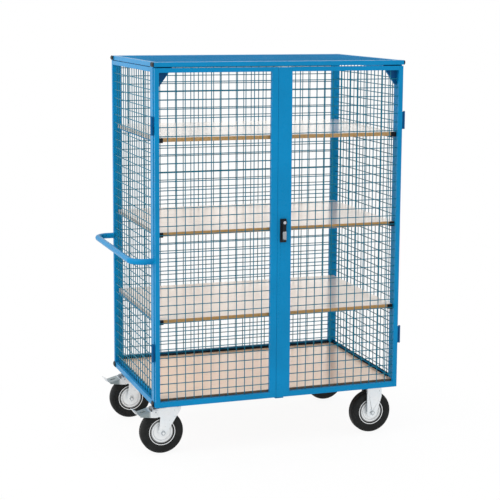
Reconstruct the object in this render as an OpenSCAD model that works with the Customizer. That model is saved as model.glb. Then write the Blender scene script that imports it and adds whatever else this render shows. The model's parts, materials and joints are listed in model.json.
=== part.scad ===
// Mesh cupboard trolley: a tube frame on four castors, mesh walls and roof, two mesh doors with a
// rod lock, wooden shelves and a push handle. X runs along the trolley, Y to the back, Z up.

/* [Cage frame] */
// Width over the corner posts
frame_w = 1180; // [1100:10:1300]
// Depth from the front of the doors to the back of the cage
frame_d = 780; // [700:10:900]
// Height from the floor to the top of the roof
frame_h = 1770; // [1700:10:1900]
// Narrow side of a corner post
post_w = 20; // [16:1:24]
// Wide side of a corner post
post_d = 40; // [34:1:50]
// Height of the roof rails and the side panels' top rails
rail_h = 20; // [16:1:26]
// Height of the rear panel's foot rail
rear_foot_h = 28; // [20:1:40]
// Depth of the two long roof rails
rail_d = 40; // [34:1:50]
// Height of the base rails
base_h = 25; // [22:1:40]
// Width of the base rails
base_d = 30; // [26:1:36]
// Wall of the frame tubes
tube_t = 2; // [1.5:0.25:3]
// Width of the gusset plates in the upper front corners
gusset_w = 68; // [50:1:100]
// Height of the gusset plates
gusset_h = 91; // [60:1:120]
// Thickness of the gusset plates
gusset_t = 3; // [2:0.5:5]
// How far the end caps stand out of the long rails
cap_dome = 6; // [4:0.5:12]
// Gap between the roof's side rails and the top rails of the side panels
roof_seam = 3; // [1:0.5:6]

/* [Mesh] */
// Wire diameter
wire_d = 4; // [3:0.25:5]
// Nominal distance from wire to wire
mesh_pitch = 40; // [35:1:60]

/* [Doors] */
// Thickness of the doors
door_t = 20; // [18:0.5:25]
// Width of the hinge stiles
stile_w = 20; // [16:1:30]
// Width of the left door's meeting stile
meet_stile_w = 30; // [20:1:40]
// Width of the right door's lock stile
lock_stile_w = 65; // [50:1:90]
// Height of the top rails of the doors
door_top_h = 20; // [16:1:30]
// Height of the bottom rails of the doors
door_bottom_h = 25; // [20:1:40]
// Wall of the door tubes
door_wall = 1.5; // [1.25:0.25:2]
// Distance of the meeting line from the middle, to the left
meet_off = 19; // [0:1:30]
// Gap between the two doors
meet_gap = 1.5; // [1:0.5:8]
// Gap between the back of a door and the posts
door_gap = 2; // [1.5:0.5:4]
// Gap between the doors and the front roof rail
door_head_gap = 5; // [3:0.5:10]
// Height of the doors' lower edge over the underside of the base
door_foot = 2; // [1:0.5:6]
// Length of one hinge
hinge_l = 80; // [60:2:100]
// Diameter of the hinge knuckles
knuckle_d = 10; // [8:0.5:12]
// Diameter of the hinge pins
hinge_pin_d = 6; // [4:0.5:6.5]
// Distance of the hinge axes from the outer sides of the posts
hinge_stand = 9; // [8.5:0.5:14]
// Distance from a door's end to the middle of its hinge
hinge_inset = 250; // [150:5:350]

/* [Lock] */
// Height of the lock's turning axis above the floor
lock_z = 1050; // [900:1:1150]
// Distance of the turning axis from the meeting edge of the lock stile
lock_backset = 26; // [22:0.5:30]
// Width of the lock's base plate
plate_w = 30; // [25:1:34]
// Height of the lock's base plate
plate_h = 107; // [90:1:125]
// Thickness of the lock's base plate
plate_t = 5; // [3:0.5:8]
// Length of the lever from its axis to its tip
lever_l = 82; // [60:1:95]
// Width of the lever
lever_w = 16; // [12:0.5:20]
// Thickness of the lever
lever_t = 10; // [7:0.5:14]
// Diameter of the lock's spindle
spindle_d = 16; // [12:0.5:16]
// Travel of the lock rods
rod_travel = 16; // [14:0.5:18]
// Width of the lock rods
rod_w = 10; // [8:0.5:12]
// Thickness of the lock rods
rod_t = 4; // [3:0.5:4.5]

/* [Shelves] */
// Thickness of the shelves
board_t = 18; // [12:1:20]
// Thickness of the platform board
platform_t = 12; // [10:1:18]
// Height of the lower shelf's top over the platform
lower_rise = 359; // [250:1:450]
// Height of the middle shelf's top over the platform
middle_rise = 752; // [600:1:850]
// Height of the upper shelf's top over the platform
upper_rise = 1169; // [1000:1:1250]
// Width of the flat bars that bear the shelves' ends
bearer_w = 26; // [20:1:35]
// Thickness of the shelf bearers
bearer_t = 4; // [3:0.5:6]

/* [Push handle] */
// Height of the push handle above the floor
handle_z = 895; // [750:5:1050]
// Distance from the posts to the middle of the handle bar
handle_reach = 90; // [80:1:150]
// Diameter of the handle tube
handle_d = 27; // [20:0.5:34]
// Radius of the handle's bends
handle_bend_r = 60; // [40:1:80]

/* [Castors] */
// Diameter of the wheels
wheel_d = 200; // [170:1:220]
// Width of the tyres
tyre_w = 50; // [40:1:58]
// Diameter of the steel rim
rim_d = 104; // [90:1:110]
// Diameter of the axle bolts
axle_d = 12; // [10:0.5:16]
// Thickness of the fork sheet
fork_t = 4; // [3:0.25:6]
// Distance from the swivel axis back to the axle
trail = 40; // [30:1:45]
// Distance of the swivel axes from the left base rail
swivel_inset = 63; // [62:1:110]
// Distance of the fixed castors' plates, at their middle, from the right base rail
fixed_inset = 62; // [62:1:150]
// Distance of the castors' middle from the front base rail
castor_inset = 48; // [48:1:80]
// Length of the castor plates
castor_plate_l = 135; // [125:1:150]
// Width of the castor plates
castor_plate_w = 110; // [104:1:125]
// Bolt spacing along the castor plates
bolt_l = 105; // [95:1:110]
// Bolt spacing across the castor plates
bolt_w = 80; // [70:1:84]
// Diameter of the castor bolts
bolt_d = 10; // [8:0.5:12]
// Length of the brake pedals from their pivot to the tip
pedal_l = 98; // [90:1:110]

/* [Hidden] */
$fn = 48;
over = 1;
running = 0.05;
part_gap = 0.4;
board_fit = 0.3;
weld_gap = 0.05;
bolt_fit = 0.3;

// Colours
blue = [0.0, 0.42, 0.72];
zinc = [0.78, 0.80, 0.82];
black = [0.08, 0.08, 0.09];
beech = [0.86, 0.72, 0.60];
chrome = [0.85, 0.86, 0.88];

// Small parts of the frame
cap_flange = 2;
cap_plug = 15;
cap_fit = 0.2;
gusset_nose = 8;
gusset_in = 10;

// Main planes of the cage
hw = frame_w / 2;
y_front = -frame_d / 2;
y_back = frame_d / 2;
castor_plate_t = 5;
race_h = 8;
race_gap = 0.5;
crown_h = 12.5;
crown_to_tyre = 9;
z_base = wheel_d + crown_to_tyre + crown_h + race_gap + race_h + castor_plate_t;
z_deck = z_base + base_h;
z_wall = z_deck + rear_foot_h;
z_roof = frame_h - rail_h;
z_panel = z_roof - roof_seam - rail_h;
y_post = y_front + door_t + door_gap;
y_post_in = y_post + post_d;
y_rear_post = y_back - post_w;
y_base_in = y_post + base_d;
y_base_rear = y_back - base_d;
x_base_in = hw - base_d;

// Platform and shelves
mount_plate_t = 6;
cross_x = x_base_in / 3;
z_platform = z_deck + platform_t;
shelf_stop_t = 4;
y_shelf = y_post + shelf_stop_t + door_gap;
x_post_in = hw - post_w;

// Doors
edge_inset = 3;
z_door = z_base + door_foot;
door_h = z_roof - door_head_gap - z_door;
x_left_edge = -hw + edge_inset;
x_right_edge = hw - edge_inset;
x_left_meet = -meet_off - meet_gap / 2;
x_right_meet = -meet_off + meet_gap / 2;
x_lock_in = x_right_meet + lock_stile_w;
left_open_w = x_left_meet - meet_stile_w - x_left_edge - stile_w;
right_open_w = x_right_edge - stile_w - x_lock_in;
open_h = door_h - door_top_h - door_bottom_h;
z_open = z_door + door_bottom_h;
hinge_x = hw + hinge_stand;
hinge_y = y_front + door_t / 2;
hinge_leaf_t = 3;
hinge_leaf_l = 23;
hinge_web_t = 3;
hinge_half = (hinge_l - part_gap) / 2;
hinge_zs = [z_door + hinge_inset, z_door + door_h - hinge_inset];

// Lock
lock_x = x_right_meet + lock_backset;
cam_t = 4;
cam_gap = 0.5;
yoke_web = 3;
cam_pin_r = 3;
yoke_room = 1;
pin_radius = rod_travel / sqrt(2);
slot_low = pin_radius * cos(45) - cam_pin_r - yoke_room / 2;
slot_high = pin_radius + cam_pin_r + yoke_room / 2;
rod_off = (slot_low + slot_high) / 2;
yoke_w = slot_high - slot_low + 2 * yoke_web;
yoke_h = 2 * (cam_pin_r + yoke_room + yoke_web);
y_web = y_front + door_wall;
cam_depth = 5;
y_cam = y_web + cam_depth;
y_rod = y_cam + cam_t + cam_gap;
y_plate = y_front - plate_t;
boss_r = 12;
boss_l = 16;
y_boss = y_plate - part_gap - boss_l;
key_r = 7;
key_out = 3;
key_depth = 12;
key_slot_w = 1.5;
key_slot_h = 8;
key_slot_depth = 4;
lock_stand = plate_t + part_gap + boss_l + key_out;
rod_tip_gap = 2;
rod_slot_room = 2;
guide_w = 20;
guide_h = 8;
guide_inset = 60;
guide_fit = 0.3;
guide_back = 2;
keeper_t = 3;
keeper_w = 40;

// Castors
axle_z = wheel_d / 2;
wheel_r = wheel_d / 2;
rim_r = rim_d / 2;
axle_r = axle_d / 2;
swivel_x = -x_base_in + swivel_inset;
fixed_x = x_base_in - fixed_inset;
castor_y = y_base_in + castor_inset;
castor_ys = [castor_y, -castor_y];
fork_room = 5;
fork_in = tyre_w / 2 + fork_room;
fork_out = fork_in + fork_t;
hub_room = 2;
hub_half = fork_in - hub_room;
hub_r = 15;
race_r = 38;
crown_r = 42;
king_r = 8;
king_head_r = 14;
king_head_h = 7.5;
z_plate = z_base - castor_plate_t;
z_race = z_plate - race_h;
z_crown = z_race - race_gap - crown_h;
bridge_h = 6;
z_bridge = z_crown + bridge_h;
crown_over = 12;
crown_lip = 3;
crown_skirt = 4;
axle_boss_r = 18;
axle_head_h = 8;
axle_head_rim = 5;
axle_head_d = axle_d + 2 * axle_head_rim;
nut_h = 7;
nut_r = 8.5;
nut_room = 0.5;
bolt_tail = 3;
fixed_lead = 5;
bracket_boss_r = 25;
bracket_flare = 73;
bracket_front = bolt_l / 2 - nut_r - nut_room;
mount_margin = 10;
ring_step = 6;
ring_in = rim_r + ring_step;
ring_w = 3;
ring_sink = 3;
ring_out = 1;
tyre_shoulder = 14;
tyre_taper = 5;
side_half = tyre_w / 2 - tyre_taper;
rim_step = 2;
rim_half = side_half - rim_step;
dish_step = 4;
dish_half = rim_half - dish_step;
dish_edge = 8;

// Brake pedals, measured from the swivel axis
pivot_back = 34;
pivot_x = -trail - pivot_back;
pivot_z = wheel_d;
pivot_r = 4;
cheek_gap = 1;
cheek_t = 3;
cheek_in = fork_out + cheek_gap;
cheek_out = cheek_in + cheek_t;
cheek_nose = 10;
cheek_half = 9;
cheek_lead = 4;
cheek_drop = 26;
cheek_tip = 8;
pin_end = 1;
ear_back = 14;
ear_low = 25;
ear_high = 10;
shoe_room = 7;
shoe_l = 9;
shoe_half = 20;
shoe_gap = 8;
shoe_x = pivot_x - ear_back - shoe_room;
shoe_dx = shoe_x + trail;
shoe_z = axle_z + sqrt(wheel_r * wheel_r - shoe_dx * shoe_dx) + shoe_gap;
pedal_x = pivot_x - pedal_l;
tread_t = 3.5;
tread_z = pivot_z + 4;
bend_z = pivot_z - 10;
toe_run = 26;
toe_rise = 17;
bend_x = pedal_x + toe_run;
tread_slope = (tread_z - bend_z) / (shoe_x - bend_x);
tread_edge = 8;
tread_slot_w = 14;
tread_slot_l = shoe_x - shoe_l - shoe_room - bend_x - tread_edge;

// Push handle
handle_r = handle_d / 2;
handle_wall = 2;
handle_bar_x = -hw - handle_reach;
handle_front_y = y_post + post_d / 2;
handle_rear_y = y_back - handle_r;

// Move from the middle of the cage to the middle of the whole trolley's footprint
side_reach = max(cap_dome, hinge_stand + knuckle_d / 2);
cage_x = (handle_reach + handle_r - side_reach) / 2;
cage_y = lock_stand / 2;

// Shared shapes

module place() {
  translate([cage_x, cage_y, 0]) children();
}

module tube_x(size, wall) {
  difference() {
    cube(size);
    translate([-over, wall, wall]) cube([size[0] + 2 * over, size[1] - 2 * wall, size[2] - 2 * wall]);
  }
}

module tube_y(size, wall) {
  difference() {
    cube(size);
    translate([wall, -over, wall]) cube([size[0] - 2 * wall, size[1] + 2 * over, size[2] - 2 * wall]);
  }
}

module tube_z(size, wall) {
  difference() {
    cube(size);
    translate([wall, wall, -over]) cube([size[0] - 2 * wall, size[1] - 2 * wall, size[2] + 2 * over]);
  }
}

function cells(length) = max(2, round(length / mesh_pitch));

// Welded mesh over a panel in the XZ plane, uprights in front of the cross wires
module mesh_panel(width, height) {
  lay = (wire_d + weld_gap) / 2;
  across = cells(width);
  up = cells(height);
  for (i = [1 : across - 1])
    translate([i * width / across, -lay, 0]) cylinder(d = wire_d, h = height);
  for (j = [1 : up - 1])
    translate([0, lay, j * height / up]) rotate([0, 90, 0]) cylinder(d = wire_d, h = width);
}

// A copy of the children on the left and a mirrored one on the right
module both_sides() {
  children();
  mirror([1, 0, 0]) children();
}

module round_slot(length, width, height) {
  for (end = [0, length - width])
    translate([end + width / 2, 0, 0]) cylinder(d = width, h = height);
  translate([width / 2, -width / 2, 0]) cube([length - width, width, height]);
}

// Base frame and platform

module base_rails() color(blue) place() {
  translate([-hw, y_post, z_base]) tube_x([frame_w, base_d, base_h], tube_t);
  translate([-hw, y_base_rear, z_base]) tube_x([frame_w, base_d, base_h], tube_t);
  both_sides()
    translate([-hw, y_base_in, z_base]) tube_y([base_d, y_base_rear - y_base_in, base_h], tube_t);
}

function mount_x_left() = swivel_x + castor_plate_l / 2 + mount_margin;
function mount_x_right() = fixed_x - castor_plate_l / 2 - mount_margin;
function mount_y_front() = castor_ys[0] + castor_plate_w / 2 + mount_margin;
function mount_y_rear() = castor_ys[1] - castor_plate_w / 2 - mount_margin;

module bolt_places() {
  for (x = [-bolt_l / 2, bolt_l / 2])
    for (y = [-bolt_w / 2, bolt_w / 2])
      translate([x, y, 0]) children();
}

module castor_places() {
  for (x = [swivel_x, fixed_x])
    for (y = castor_ys)
      translate([x, y, 0]) children();
}

module castor_mount_plates() color(blue) place() {
  difference() {
    for (y = [[y_base_in, mount_y_front()], [mount_y_rear(), y_base_rear]]) {
      translate([-x_base_in, y[0], z_base]) cube([mount_x_left() + x_base_in, y[1] - y[0], mount_plate_t]);
      translate([mount_x_right(), y[0], z_base])
        cube([x_base_in - mount_x_right(), y[1] - y[0], mount_plate_t]);
    }
    castor_places() bolt_places()
      translate([0, 0, z_base - over]) cylinder(d = bolt_d + 2 * bolt_fit, h = mount_plate_t + 2 * over);
  }
}

// Two tubes under the platform board, between the front and rear rails
module base_cross_rails() color(blue) place() both_sides()
  translate([-cross_x - base_d / 2, y_base_in, z_base])
    tube_y([base_d, y_base_rear - y_base_in, base_h], tube_t);

// The board lies on the base rails, between the posts
module platform_board() color(beech) place()
  translate([-x_post_in + board_fit, y_post + board_fit, z_deck])
    cube([2 * (x_post_in - board_fit), y_rear_post - y_post - 2 * board_fit, platform_t]);

// Posts and roof

module front_post(x) translate([x, y_post, z_deck]) tube_z([post_w, post_d, z_roof - z_deck], tube_t);
module rear_post(x) translate([x, y_rear_post, z_deck]) tube_z([post_d, post_w, z_roof - z_deck], tube_t);
module front_left_post() color(blue) place() front_post(-hw);
module front_right_post() color(blue) place() front_post(hw - post_w);
module rear_left_post() color(blue) place() rear_post(-hw);
module rear_right_post() color(blue) place() rear_post(hw - post_d);

// The slot in the underside takes the tip of the upper lock rod
module roof_front_rail() color(blue) place() difference() {
  translate([-hw, y_front, z_roof]) tube_x([frame_w, rail_d, rail_h], tube_t);
  translate([lock_x + rod_off - rod_w / 2 - rod_slot_room, y_rod - rod_slot_room, z_roof - over])
    cube([rod_w + 2 * rod_slot_room, rod_t + 2 * rod_slot_room, tube_t + 2 * over]);
}

// Rear rail and the two side rails between the long ones
module roof_rails() color(blue) place() {
  translate([-hw, y_back - rail_d, z_roof]) tube_x([frame_w, rail_d, rail_h], tube_t);
  both_sides()
    translate([-hw, y_front + rail_d, z_roof]) tube_y([post_w, frame_d - 2 * rail_d, rail_h], tube_t);
}

// Top rails of the side panels, and the foot rail of the rear panel
module panel_rails() color(blue) place() {
  both_sides()
    translate([-hw, y_post_in, z_panel]) tube_y([post_w, y_rear_post - y_post_in, rail_h], tube_t);
  translate([-hw + post_d, y_rear_post, z_deck])
    tube_x([frame_w - 2 * post_d, post_w, rear_foot_h], tube_t);
}

module gusset_plates() color(blue) place() both_sides()
  translate([-x_post_in, y_post + gusset_in + gusset_t, z_roof]) rotate([90, 0, 0])
    linear_extrude(gusset_t)
      polygon([
        [0, 0], [gusset_w, 0], [gusset_w, -gusset_nose], [gusset_nose, -gusset_h], [0, -gusset_h]
      ]);

// Plug, flange and rounded dome for the open end of a tube that runs along X
module end_cap(depth, height) {
  sag = cap_dome - cap_flange;
  dome_r = (height * height / 4 + sag * sag) / (2 * sag);
  inset = tube_t + cap_fit;
  translate([-cap_plug, inset, inset]) cube([cap_plug, depth - 2 * inset, height - 2 * inset]);
  cube([cap_flange, depth, height]);
  intersection() {
    cube([cap_dome, depth, height]);
    translate([cap_dome - dome_r, 0, height / 2]) rotate([-90, 0, 0]) cylinder(r = dome_r, h = depth);
  }
}

module tube_end_caps() color(black) place() both_sides() {
  for (y = [y_front, y_back - rail_d])
    translate([hw, y, z_roof]) end_cap(rail_d, rail_h);
  for (y = [y_post, y_base_rear])
    translate([hw, y, z_base]) end_cap(base_d, base_h);
}

// Mesh walls and roof

module side_mesh(x)
  translate([x, y_post_in, z_deck]) rotate([0, 0, 90]) mesh_panel(y_rear_post - y_post_in, z_panel - z_deck);
module left_mesh() color(blue) place() side_mesh(-hw + post_w / 2);
module right_mesh() color(blue) place() side_mesh(hw - post_w / 2);

module rear_mesh() color(blue) place()
  translate([-hw + post_d, y_back - post_w / 2, z_wall]) mesh_panel(frame_w - 2 * post_d, z_roof - z_wall);

module roof_mesh() color(blue) place()
  translate([-hw + post_w, y_back - rail_d, frame_h - wire_d - weld_gap / 2]) rotate([90, 0, 0])
    mesh_panel(frame_w - 2 * post_w, frame_d - 2 * rail_d);

// Shelves

module shelf(rise) color(beech) place() {
  half = x_post_in - board_fit;
  translate([-half, y_shelf, z_platform + rise - board_t])
    cube([2 * half, y_rear_post - door_gap - y_shelf, board_t]);
}
module upper_shelf() shelf(upper_rise);
module middle_shelf() shelf(middle_rise);
module lower_shelf() shelf(lower_rise);

module shelf_end_places() {
  for (rise = [lower_rise, middle_rise, upper_rise])
    both_sides()
      translate([-x_post_in, 0, z_platform + rise - board_t - bearer_t]) children();
}

// Flat bars welded between the posts, with a board's end on each
module shelf_bearers() color(blue) place() shelf_end_places()
  translate([0, y_shelf, 0]) cube([bearer_w, y_rear_post - y_shelf, bearer_t]);

// Plastic stops in front of the boards' ends
module shelf_stops() color(black) place() shelf_end_places()
  translate([0, y_shelf - shelf_stop_t, 0]) cube([bearer_w, shelf_stop_t, bearer_t + board_t]);

// Push handle

module handle_ring() difference() {
  circle(r = handle_r);
  circle(r = handle_r - handle_wall);
}

module handle_leg(y) translate([-hw, y, handle_z]) rotate([0, -90, 0])
  linear_extrude(handle_reach - handle_bend_r) handle_ring();

module push_handle() color(blue) place() {
  bend_x = handle_bar_x + handle_bend_r;
  handle_leg(handle_front_y);
  handle_leg(handle_rear_y);
  translate([bend_x, handle_front_y + handle_bend_r, handle_z]) rotate([0, 0, 180])
    rotate_extrude(angle = 90) translate([handle_bend_r, 0]) handle_ring();
  translate([bend_x, handle_rear_y - handle_bend_r, handle_z]) rotate([0, 0, 90])
    rotate_extrude(angle = 90) translate([handle_bend_r, 0]) handle_ring();
  translate([handle_bar_x, handle_rear_y - handle_bend_r, handle_z]) rotate([90, 0, 0])
    linear_extrude(handle_rear_y - handle_front_y - 2 * handle_bend_r) handle_ring();
}

// Doors

module left_door_stiles() color(blue) place() {
  translate([x_left_edge, y_front, z_door]) tube_z([stile_w, door_t, door_h], door_wall);
  translate([x_left_meet - meet_stile_w, y_front, z_door]) tube_z([meet_stile_w, door_t, door_h], door_wall);
}

module door_rails(x, width) {
  translate([x, y_front, z_door]) tube_x([width, door_t, door_bottom_h], door_wall);
  translate([x, y_front, z_open + open_h]) tube_x([width, door_t, door_top_h], door_wall);
}

module door_mesh(x, width) translate([x, hinge_y, z_open]) mesh_panel(width, open_h);

module left_door_rails() color(blue) place() door_rails(x_left_edge + stile_w, left_open_w);
module left_door_mesh() color(blue) place() door_mesh(x_left_edge + stile_w, left_open_w);
module right_door_rails() color(blue) place() door_rails(x_lock_in, right_open_w);
module right_door_mesh() color(blue) place() door_mesh(x_lock_in, right_open_w);

module right_door_hinge_stile() color(blue) place()
  translate([x_right_edge - stile_w, y_front, z_door]) tube_z([stile_w, door_t, door_h], door_wall);

// Folded channel, open at the back, that the lock rods run in
module right_door_lock_stile() color(blue) place() difference() {
  translate([x_right_meet, y_front, z_door]) cube([lock_stile_w, door_t, door_h]);
  translate([x_right_meet + door_wall, y_web, z_door - over])
    cube([lock_stile_w - 2 * door_wall, door_t, door_h + 2 * over]);
  translate([lock_x, y_front - over, lock_z]) rotate([-90, 0, 0])
    cylinder(d = spindle_d + 2 * running, h = door_wall + 2 * over);
}

// Half a hinge from its lower end, less the pin: the knuckle and a web of the given length
module knuckle(low, web_l) {
  translate([-hinge_x, hinge_y, low]) cylinder(d = knuckle_d, h = hinge_half);
  translate([-hinge_x, hinge_y - hinge_web_t / 2, low]) cube([web_l, hinge_web_t, hinge_half]);
}

// Lower knuckle with its leaf on the post's outer side, and the pin that stands in it
module post_leaf(z) {
  low = z - hinge_l / 2;
  leaf_y = hinge_y - hinge_web_t / 2;
  difference() {
    union() {
      knuckle(low, hinge_stand);
      translate([-hw - hinge_leaf_t, leaf_y, low])
        cube([hinge_leaf_t, y_post - leaf_y + hinge_leaf_l, hinge_half]);
    }
    translate([-hinge_x, hinge_y, low - over]) cylinder(d = hinge_pin_d + 2 * running, h = hinge_l);
  }
  translate([-hinge_x, hinge_y, low]) cylinder(d = hinge_pin_d, h = hinge_l);
}

module hinge_post_leaves() color(blue) place() both_sides() {
  for (z = hinge_zs)
    post_leaf(z);
}

// Upper knuckle with the web that joins it to the door's edge
module door_knuckle(z) difference() {
  knuckle(z + part_gap / 2, hinge_x + x_left_edge);
  translate([-hinge_x, hinge_y, z - over]) cylinder(d = hinge_pin_d + 2 * running, h = hinge_l);
}

module door_knuckles() {
  for (z = hinge_zs)
    door_knuckle(z);
}
module left_door_knuckles() color(blue) place() door_knuckles();
module right_door_knuckles() color(blue) place() mirror([1, 0, 0]) door_knuckles();

// Lock

module lock_base_plate() color(black) place() difference() {
  translate([lock_x - plate_w / 2, y_plate, lock_z + plate_w / 2 - plate_h])
    cube([plate_w, plate_t, plate_h]);
  translate([lock_x, y_plate - over, lock_z]) rotate([-90, 0, 0])
    cylinder(d = spindle_d + 2 * running, h = plate_t + 2 * over);
}

module lock_lever() color(black) place() translate([lock_x, y_boss, lock_z]) difference() {
  union() {
    rotate([-90, 0, 0]) cylinder(r = boss_r, h = boss_l);
    rotate([-90, 0, 0]) cylinder(d = spindle_d, h = y_cam + cam_t - y_boss);
    translate([-lever_w / 2, 0, -lever_l + lever_w / 2]) cube([lever_w, lever_t, lever_l - lever_w / 2]);
    translate([0, 0, -lever_l + lever_w / 2]) rotate([-90, 0, 0]) cylinder(d = lever_w, h = lever_t);
  }
  translate([0, -over, 0]) rotate([-90, 0, 0]) cylinder(r = key_r + running, h = key_depth + over);
}

// Key cylinder in the lever's boss, with a key slot
module lock_cylinder() color(chrome) place() translate([lock_x, y_boss - key_out, lock_z]) difference() {
  rotate([-90, 0, 0]) cylinder(r = key_r, h = key_depth + key_out);
  translate([-key_slot_w / 2, -over, -key_slot_h / 2]) cube([key_slot_w, key_slot_depth + over, key_slot_h]);
}

// Cam with a pin for each rod
module lock_cam() color(zinc) place() translate([lock_x, y_cam, lock_z]) {
  difference() {
    rotate([-90, 0, 0]) cylinder(r = pin_radius + cam_pin_r + yoke_web, h = cam_t);
    translate([0, -over, 0]) rotate([-90, 0, 0]) cylinder(d = spindle_d + 2 * running, h = cam_t + 2 * over);
  }
  for (side = [-1, 1])
    translate([side * pin_radius * cos(45), cam_t, -side * pin_radius * sin(45)]) rotate([-90, 0, 0])
      cylinder(r = cam_pin_r, h = cam_gap + rod_t);
}

// Flat rod with a slotted yoke around its cam pin; side is 1 for the upper rod and -1 for the lower
module lock_rod(side, tip) translate([lock_x + side * rod_off, y_rod, lock_z]) {
  pin_z = -side * rod_travel / 2;
  reach = abs(tip - lock_z - pin_z);
  difference() {
    union() {
      translate([-yoke_w / 2, 0, pin_z - yoke_h / 2]) cube([yoke_w, rod_t, yoke_h]);
      translate([-rod_w / 2, 0, side > 0 ? pin_z : pin_z - reach]) cube([rod_w, rod_t, reach]);
    }
    translate([(slot_low - slot_high) / 2, -over, pin_z - cam_pin_r - yoke_room])
      cube([slot_high - slot_low, rod_t + 2 * over, 2 * (cam_pin_r + yoke_room)]);
  }
}
module upper_lock_rod() color(zinc) place() lock_rod(1, z_door + door_h - rod_tip_gap);
module lower_lock_rod() color(zinc) place() lock_rod(-1, z_door + rod_tip_gap);

module rod_guide(side, z) translate([lock_x + side * rod_off, y_web, z]) difference() {
  translate([-guide_w / 2, 0, 0]) cube([guide_w, y_rod + rod_t + guide_back - y_web, guide_h]);
  translate([-rod_w / 2 - guide_fit, y_rod - y_web - guide_fit, -over])
    cube([rod_w + 2 * guide_fit, rod_t + 2 * guide_fit, guide_h + 2 * over]);
}
module lock_rod_guides() color(zinc) place() {
  rod_guide(1, z_door + door_h - guide_inset);
  rod_guide(1, (z_door + door_h + lock_z) / 2);
  rod_guide(-1, (z_door + lock_z) / 2);
  rod_guide(-1, z_door + guide_inset);
}

// Plate under the base, in front of its rail, with a slot for the lower lock rod
module lock_keeper() color(blue) place() difference() {
  translate([lock_x - rod_off - keeper_w / 2, y_front + door_wall, z_base - keeper_t])
    cube([keeper_w, y_base_in - y_front - door_wall, keeper_t]);
  translate([lock_x - rod_off - rod_w / 2 - rod_slot_room, y_rod - rod_slot_room, z_base - keeper_t - over])
    cube([rod_w + 2 * rod_slot_room, rod_t + 2 * rod_slot_room, keeper_t + 2 * over]);
}

// Castors, each drawn at its own plate's middle with the floor at zero

module at_swivel(i) place() translate([swivel_x, castor_ys[i], 0]) children();
module at_fixed(i) place() translate([fixed_x, castor_ys[i], 0]) children();

module castor_plate() difference() {
  translate([-castor_plate_l / 2, -castor_plate_w / 2, z_plate])
    cube([castor_plate_l, castor_plate_w, castor_plate_t]);
  bolt_places()
    translate([0, 0, z_plate - over]) cylinder(d = bolt_d + 2 * bolt_fit, h = castor_plate_t + 2 * over);
}

module castor_bolts() color(zinc) place() castor_places() bolt_places() {
  translate([0, 0, z_plate - nut_h - bolt_tail])
    cylinder(d = bolt_d, h = castor_plate_t + mount_plate_t + nut_h + bolt_tail);
  translate([0, 0, z_plate - nut_h]) cylinder(r = nut_r, h = nut_h, $fn = 6);
}

module swivel_top_plates() color(zinc) {
  for (i = [0, 1])
    at_swivel(i) difference() {
      union() {
        castor_plate();
        translate([0, 0, z_race]) cylinder(r = race_r, h = race_h);
      }
      translate([0, 0, z_race - over]) cylinder(r = king_r + running, h = race_h + castor_plate_t + 2 * over);
    }
}

module swivel_king_pins() color(zinc) {
  for (i = [0, 1])
    at_swivel(i) {
      translate([0, 0, z_crown - part_gap]) cylinder(r = king_r, h = z_base - z_crown);
      translate([0, 0, z_crown - part_gap - king_head_h]) cylinder(r = king_head_r, h = king_head_h);
    }
}

// Two sheet legs with a round boss about the axle
module fork_legs(axle_x, end_r, outline) {
  for (y = [-fork_out, fork_in])
    translate([0, y + fork_t, 0]) rotate([90, 0, 0]) linear_extrude(fork_t) {
      polygon(outline);
      translate([axle_x, axle_z]) circle(r = end_r);
    }
}

module swivel_fork() color(zinc) difference() {
  crown_back = trail + crown_over;
  crown_front = crown_r + crown_lip;
  ear_x = pivot_x - ear_back;
  union() {
    translate([0, 0, z_crown]) cylinder(r = crown_r, h = crown_h);
    translate([-crown_back, -fork_out, z_crown]) cube([crown_back + crown_front, 2 * fork_out, bridge_h]);
    fork_legs(-trail, axle_boss_r, [
      [crown_front, z_bridge], [crown_front, z_crown - crown_skirt], [axle_boss_r - trail, axle_z],
      [-axle_boss_r - trail, axle_z], [-crown_back, pivot_z - ear_low], [ear_x, pivot_z - ear_low],
      [ear_x, pivot_z + ear_high], [-crown_back, z_bridge]
    ]);
  }
  translate([0, 0, z_crown - over]) cylinder(r = king_r + running, h = crown_h + 2 * over);
  translate([-trail, -fork_out - over, axle_z]) rotate([-90, 0, 0])
    cylinder(r = axle_r + running, h = 2 * fork_out + 2 * over);
  translate([pivot_x, -fork_out - over, pivot_z]) rotate([-90, 0, 0])
    cylinder(r = pivot_r + running, h = 2 * fork_out + 2 * over);
}
module front_swivel_fork() at_swivel(0) swivel_fork();
module rear_swivel_fork() at_swivel(1) swivel_fork();

// Axle bolt with its head and nut
module axle_bolt() {
  translate([0, -fork_out - axle_head_h, axle_z]) rotate([-90, 0, 0])
    cylinder(r = axle_r, h = 2 * (fork_out + axle_head_h));
  for (y = [-fork_out - axle_head_h, fork_out])
    translate([0, y, axle_z]) rotate([-90, 0, 0]) cylinder(d = axle_head_d, h = axle_head_h, $fn = 6);
}

module swivel_pins() color(zinc) {
  translate([-trail, 0, 0]) axle_bolt();
  translate([pivot_x, -cheek_out - pin_end, pivot_z]) rotate([-90, 0, 0])
    cylinder(r = pivot_r, h = 2 * (cheek_out + pin_end));
}
module front_swivel_pins() at_swivel(0) swivel_pins();
module rear_swivel_pins() at_swivel(1) swivel_pins();

// A sheet or block of the pedal, drawn from the side and centred on the castor
module pedal_piece(width, outline)
  translate([0, width / 2, 0]) rotate([90, 0, 0]) linear_extrude(width) polygon(outline);

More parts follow.
